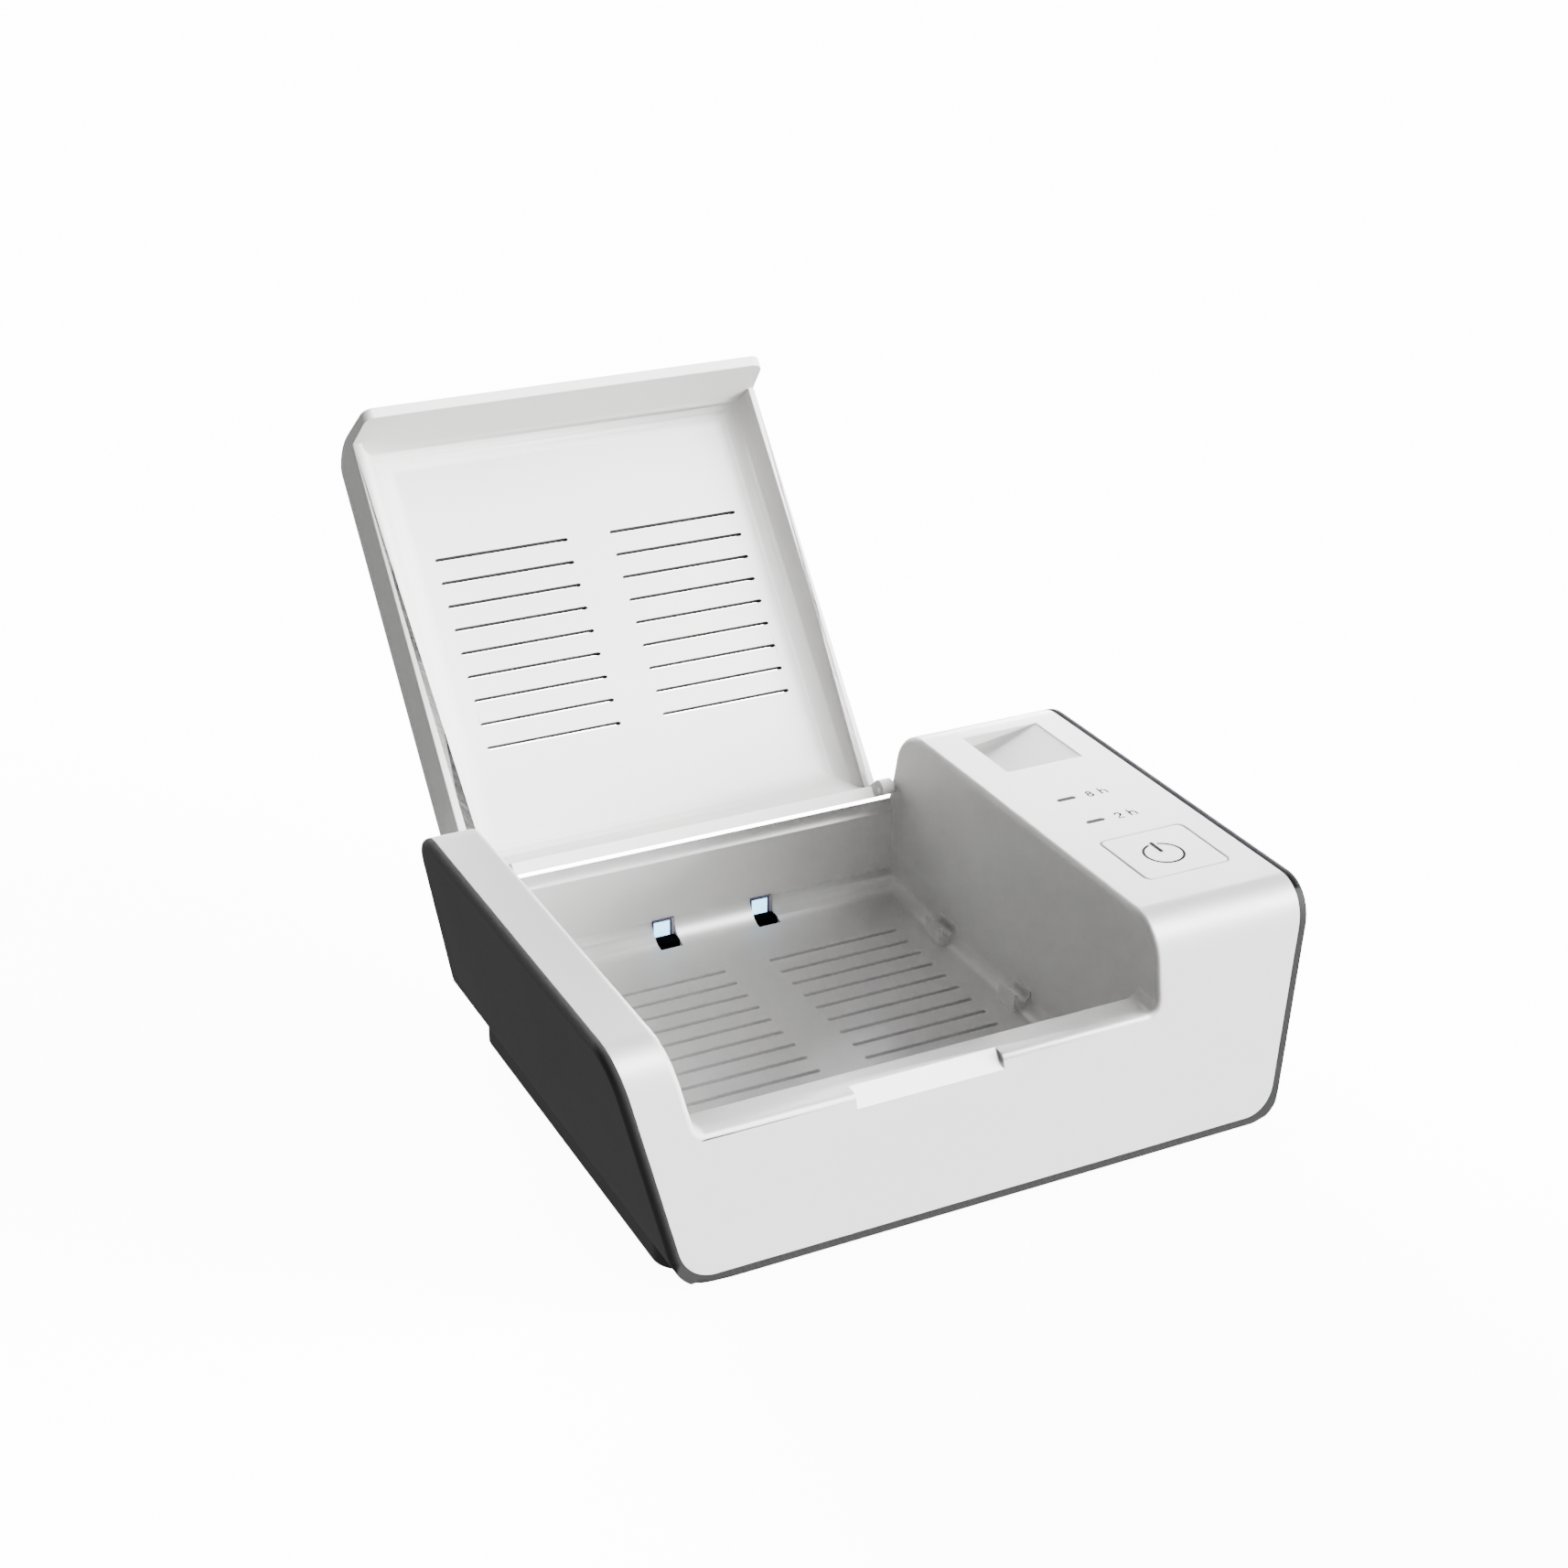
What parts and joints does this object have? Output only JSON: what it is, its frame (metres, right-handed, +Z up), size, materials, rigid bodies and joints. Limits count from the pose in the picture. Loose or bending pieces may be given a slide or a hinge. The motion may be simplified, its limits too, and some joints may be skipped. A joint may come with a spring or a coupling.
{
  "type": "hearing aid dryer",
  "caption": "White hearing aid dryer with a vented lid standing open, a warm UV chamber, control block on the right and dark outer cradle.",
  "frame": {"origin": "middle of the foot's bottom face", "axes": "+X to the right along the front, +Y to the back, +Z up"},
  "size_m": [0.1282, 0.1592, 0.1],
  "materials": {
    "white_shell": "fine satin grain",
    "white_lid": "fine satin grain",
    "graphite_shell": "satin",
    "black_foot": "matte",
    "rubber": "matte",
    "steel": "satin",
    "black_plastic": "matte",
    "board": "solder mask",
    "clear": "frosted",
    "lamp": "lens",
    "ceramic": "matte ceramic",
    "fins": "plain"
  },
  "bodies": {
    "base": {"outer_cradle": "graphite_shell", "upper_housing": "white_shell", "hinge_pins": "steel", "base_foot": "black_foot", "foot_pads": "rubber", "base_screws": "steel", "push_switch": "black_plastic", "main_board": "board", "control_chip": "black_plastic", "light_pipes": "clear", "indicator_leds": "lamp", "uv_lenses": "clear", "uv_emitters": "lamp", "uv_board": "board", "uv_holders": "black_plastic", "fan_frame": "black_plastic", "fan_bearing": "steel", "ptc_heater": "ceramic", "heater_fins": "fins", "air_duct": "black_plastic", "temp_sensor": "black_plastic", "usb_socket": "steel", "usb_board": "board"},
    "lid_body": {"lid": "white_lid"},
    "button_body": {"power_button": "white_shell"},
    "fan_body": {"fan_rotor": "black_plastic"}
  },
  "joints": [
    {"name": "lid_hinge", "type": "hinge", "parent": "base", "child": "lid_body", "pos_m": [0, 0.04443, 0.0297], "axis": [1, 0, 0], "range_deg": [0, 130]},
    {"name": "power_press", "type": "slide", "parent": "base", "child": "button_body", "axis": [0, 0, -1], "range_m": [0, 0.0006], "stiffness_N_per_m": 900},
    {"name": "fan_spin", "type": "hinge", "parent": "base", "child": "fan_body", "pos_m": [0.0435, 0, 0.0185], "axis": [0, 0, 1], "continuous": true}
  ]
}
